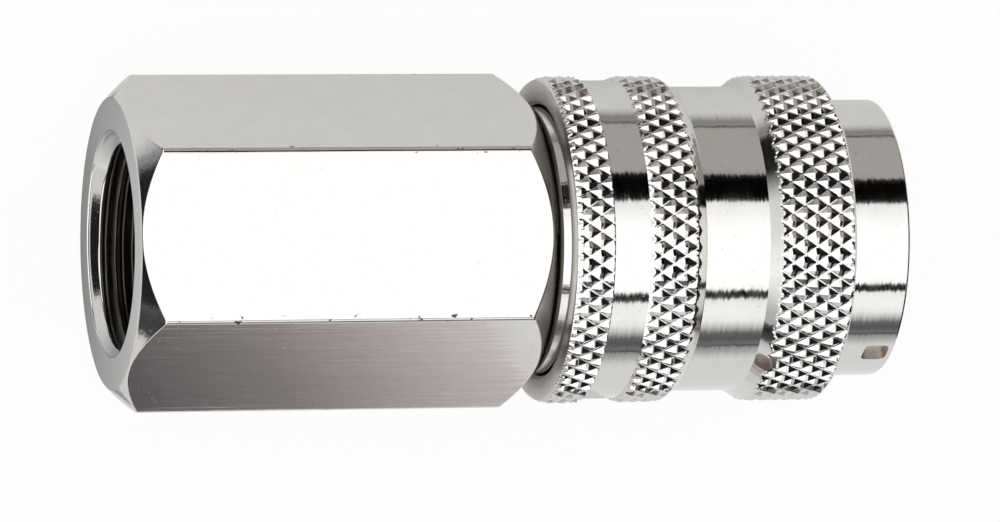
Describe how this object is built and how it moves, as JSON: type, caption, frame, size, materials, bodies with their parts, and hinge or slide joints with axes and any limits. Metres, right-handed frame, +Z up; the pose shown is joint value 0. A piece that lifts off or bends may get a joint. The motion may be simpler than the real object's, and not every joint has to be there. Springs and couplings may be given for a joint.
{
  "type": "quick coupling socket",
  "caption": "Quick coupling socket: hexagon body with a threaded port, knurled sliding sleeve, ball lock and a spring-closed valve inside.",
  "frame": {"origin": "centre of the port face, on the coupling's axis", "axes": "+X along the axis from the port to the nose, +Z up through the middle of a wrench flat, lying on its side"},
  "size_m": [0.0592, 0.0254, 0.0248],
  "materials": {
    "plated_body": "bright nickel plating on a drawn hexagon bar, fine lengthwise streaks",
    "plated_sleeve": "bright nickel plating on turned steel, fine turning lines, knurled bands",
    "plated_tube": "bright nickel plating on turned steel",
    "brass": "turned brass",
    "spring_steel": "drawn spring wire",
    "ball_steel": "polished hardened steel",
    "seal_rubber": "black nitrile rubber",
    "gasket": "white flat gasket"
  },
  "bodies": {
    "body": {"hex_body": "plated_body", "valve_body": "plated_tube", "valve_guide": "brass", "retaining_ring": "spring_steel", "body_gasket": "gasket", "plug_seal": "seal_rubber", "keeper_spring": "spring_steel", "valve_spring": "spring_steel"},
    "sleeve_coil": {"sleeve_spring": "spring_steel"},
    "sleeve": {"sleeve": "plated_sleeve"},
    "keeper": {"ball_keeper": "brass"},
    "poppet": {"valve_poppet": "brass", "poppet_seal": "seal_rubber"},
    "ball_1": {"ball_1": "ball_steel"},
    "ball_2": {"ball_2": "ball_steel"},
    "ball_3": {"ball_3": "ball_steel"},
    "ball_4": {"ball_4": "ball_steel"},
    "ball_5": {"ball_5": "ball_steel"},
    "ball_6": {"ball_6": "ball_steel"},
    "ball_7": {"ball_7": "ball_steel"},
    "ball_8": {"ball_8": "ball_steel"}
  },
  "joints": [
    {"name": "sleeve_turn", "type": "hinge", "parent": "body", "child": "sleeve_coil", "pos_m": [0.0437, 0, 0], "axis": [1, 0, 0], "continuous": true},
    {"name": "sleeve_slide", "type": "slide", "parent": "sleeve_coil", "child": "sleeve", "axis": [1, 0, 0], "range_m": [0, 0.0042], "deforming": ["sleeve_spring"]},
    {"name": "keeper_slide", "type": "slide", "parent": "body", "child": "keeper", "axis": [-1, 0, 0], "range_m": [0, 0.0047], "deforming": ["keeper_spring"]},
    {"name": "valve_slide", "type": "slide", "parent": "body", "child": "poppet", "axis": [-1, 0, 0], "range_m": [0, 0.0034], "stiffness_N_per_m": 300, "springref_m": -0.002, "deforming": ["valve_spring"]},
    {"name": "ball_1_slide", "type": "slide", "parent": "body", "child": "ball_1", "axis": [0, 0, -1], "range_m": [0, 0.00086]},
    {"name": "ball_2_slide", "type": "slide", "parent": "body", "child": "ball_2", "axis": [0, 0.7071, -0.7071], "range_m": [0, 0.00086]},
    {"name": "ball_3_slide", "type": "slide", "parent": "body", "child": "ball_3", "axis": [0, 1, 0], "range_m": [0, 0.00086]},
    {"name": "ball_4_slide", "type": "slide", "parent": "body", "child": "ball_4", "axis": [0, 0.7071, 0.7071], "range_m": [0, 0.00086]},
    {"name": "ball_5_slide", "type": "slide", "parent": "body", "child": "ball_5", "axis": [0, 0, 1], "range_m": [0, 0.00086]},
    {"name": "ball_6_slide", "type": "slide", "parent": "body", "child": "ball_6", "axis": [0, -0.7071, 0.7071], "range_m": [0, 0.00086]},
    {"name": "ball_7_slide", "type": "slide", "parent": "body", "child": "ball_7", "axis": [0, -1, 0], "range_m": [0, 0.00086]},
    {"name": "ball_8_slide", "type": "slide", "parent": "body", "child": "ball_8", "axis": [0, -0.7071, -0.7071], "range_m": [0, 0.00086]}
  ],
  "couplings": [
    {"joint": "keeper_slide", "follows": "sleeve_slide", "ratio": 1.1},
    {"joint": "ball_1_slide", "follows": "sleeve_slide", "ratio": 0.20238},
    {"joint": "ball_2_slide", "follows": "sleeve_slide", "ratio": 0.20238},
    {"joint": "ball_3_slide", "follows": "sleeve_slide", "ratio": 0.20238},
    {"joint": "ball_4_slide", "follows": "sleeve_slide", "ratio": 0.20238},
    {"joint": "ball_5_slide", "follows": "sleeve_slide", "ratio": 0.20238},
    {"joint": "ball_6_slide", "follows": "sleeve_slide", "ratio": 0.20238},
    {"joint": "ball_7_slide", "follows": "sleeve_slide", "ratio": 0.20238},
    {"joint": "ball_8_slide", "follows": "sleeve_slide", "ratio": 0.20238}
  ]
}
